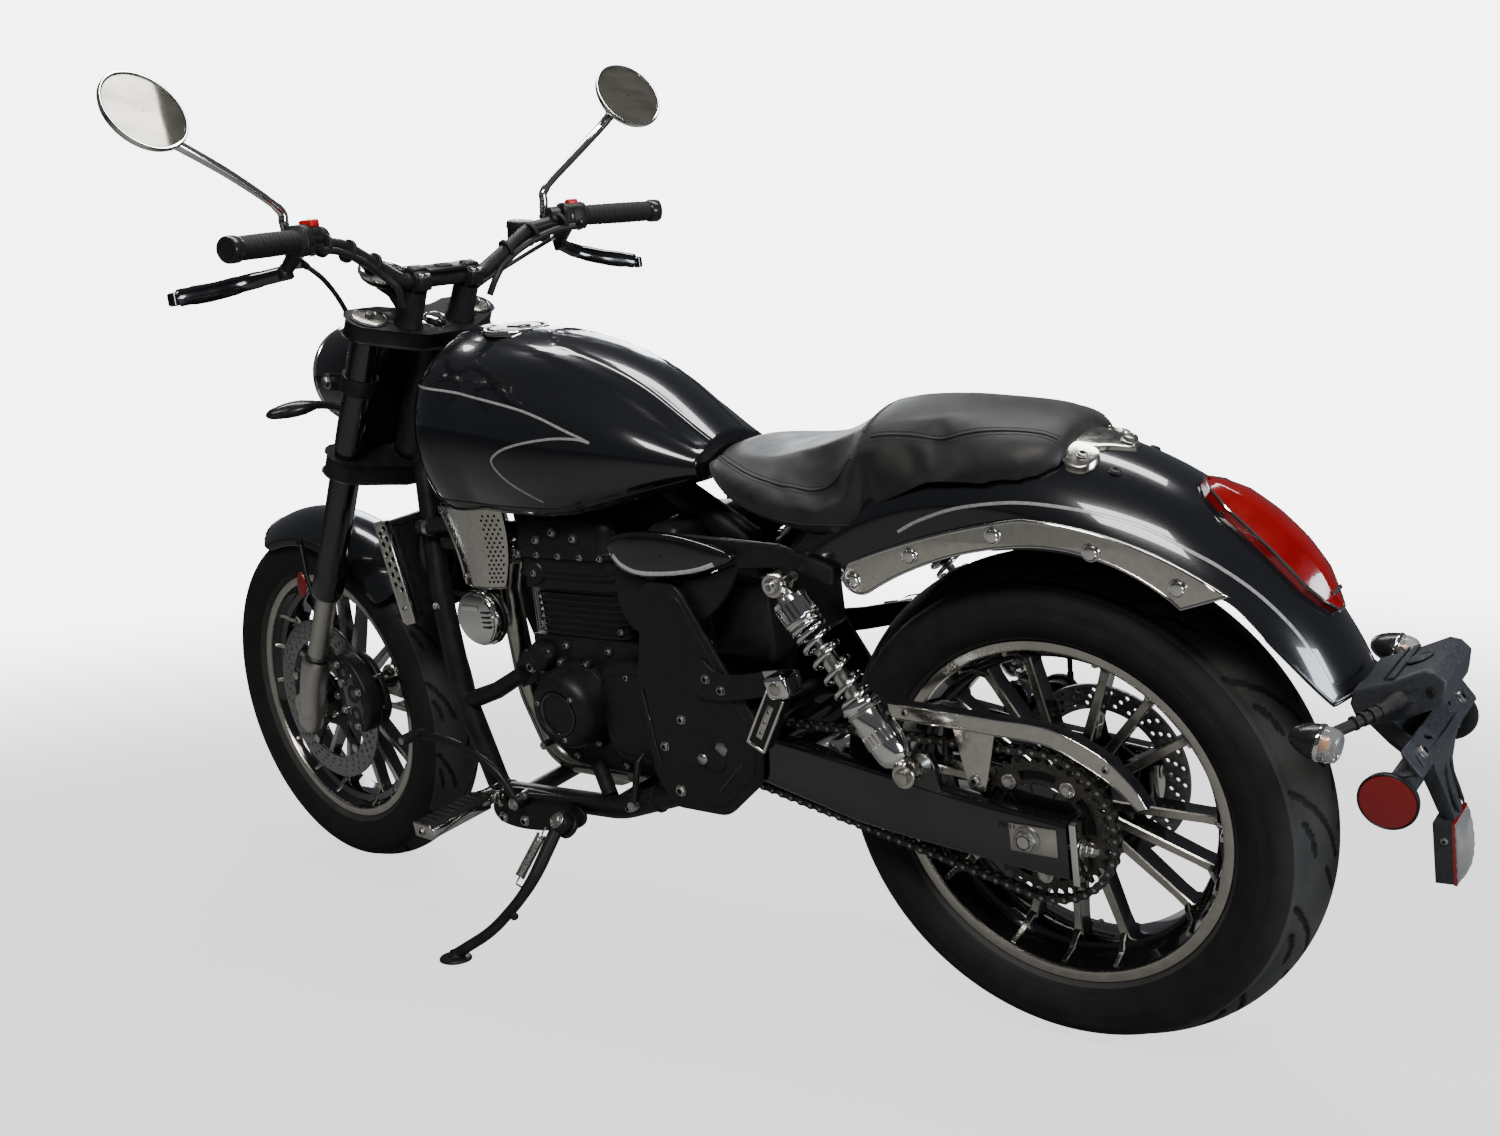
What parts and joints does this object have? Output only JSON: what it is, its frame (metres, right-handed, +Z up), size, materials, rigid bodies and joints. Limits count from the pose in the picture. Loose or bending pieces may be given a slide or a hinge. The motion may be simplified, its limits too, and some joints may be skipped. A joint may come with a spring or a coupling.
{
  "type": "cruiser motorcycle",
  "caption": "Two-wheeled cruiser motorcycle parked on its side stand, with turning wheels, steering fork and folding stand.",
  "frame": {"origin": "on the ground, under the centre of the whole machine's bounding box", "axes": "+X towards the front wheel, +Y to the rider's left (the side it leans to), +Z up from the ground"},
  "size_m": [2.2307, 1.002, 1.3898],
  "materials": {
    "frame_black": "satin black powder coat",
    "gloss_black": "deep gloss black lacquer with thin grey pinstripes",
    "fork_cover": "gloss black fork covers",
    "engine_black": "semi-gloss black engine enamel",
    "exhaust_steel": "brushed stainless steel",
    "radiator_black": "satin black core with bright perforated side guards",
    "chrome": "bright chrome plating",
    "polished_aluminium": "polished aluminium",
    "wheel_alloy": "black cast wheel with polished lip and spoke faces",
    "steel": "machined steel",
    "caliper_black": "black enamelled casting",
    "black_plastic": "moulded black plastic",
    "red_lens": "red lens plastic",
    "seat_vinyl": "soft black seat cover with stitched seams",
    "grip_rubber": "ribbed black rubber",
    "tyre": "black tyre rubber"
  },
  "bodies": {
    "frame": {"frame_backbone": "frame_black", "down_tubes": "frame_black", "lower_rails": "frame_black", "rear_frame": "frame_black", "crankcase": "engine_black", "cylinders": "engine_black", "exhaust_headers": "exhaust_steel", "muffler": "exhaust_steel", "radiator": "radiator_black", "horn": "chrome", "fuel_tank": "gloss_black", "filler_cap": "polished_aluminium", "side_panels": "gloss_black", "seat": "seat_vinyl", "rear_fender": "gloss_black", "fender_struts": "chrome", "taillight": "red_lens", "plate_bracket": "black_plastic", "rear_indicators": "chrome", "swingarm": "frame_black", "shocks": "chrome", "chain_guard": "chrome", "drive_chain": "steel", "rear_caliper": "caliper_black", "rider_pegs": "polished_aluminium", "foot_levers": "polished_aluminium", "passenger_pegs": "polished_aluminium", "rear_axle": "steel"},
    "fork": {"triple_clamps": "frame_black", "fork_tubes": "fork_cover", "fork_lowers": "polished_aluminium", "front_fender": "gloss_black", "front_axle": "steel", "front_caliper": "caliper_black", "headlight": "gloss_black", "front_indicators": "black_plastic", "handlebar": "frame_black", "hand_controls": "grip_rubber", "control_cables": "grip_rubber", "gauge": "chrome", "mirrors": "chrome"},
    "front_wheel": {"front_rim": "wheel_alloy", "front_tyre": "tyre", "front_disc": "steel"},
    "rear_wheel": {"rear_rim": "wheel_alloy", "rear_tyre": "tyre", "rear_disc": "steel", "rear_sprocket": "steel"},
    "side_stand": {"side_stand": "frame_black"}
  },
  "joints": [
    {"name": "steering", "type": "hinge", "parent": "frame", "child": "fork", "pos_m": [0.45152, -0.06051, 0.86836], "axis": [-0.4763, 0.1527, 0.8659], "range_deg": [-32, 44]},
    {"name": "front_wheel_spin", "type": "hinge", "parent": "fork", "child": "front_wheel", "pos_m": [0.80141, -0.16259, 0.31318], "axis": [0.092, 0.988, -0.1237], "continuous": true},
    {"name": "rear_wheel_spin", "type": "hinge", "parent": "frame", "child": "rear_wheel", "pos_m": [-0.64542, -0.15647, 0.32322], "axis": [0.0001, 0.9848, -0.1736], "continuous": true},
    {"name": "side_stand", "type": "hinge", "parent": "frame", "child": "side_stand", "pos_m": [0.13168, -0.00718, 0.20309], "axis": [0.0776, 0.8369, 0.5418], "range_deg": [0, 105]}
  ]
}
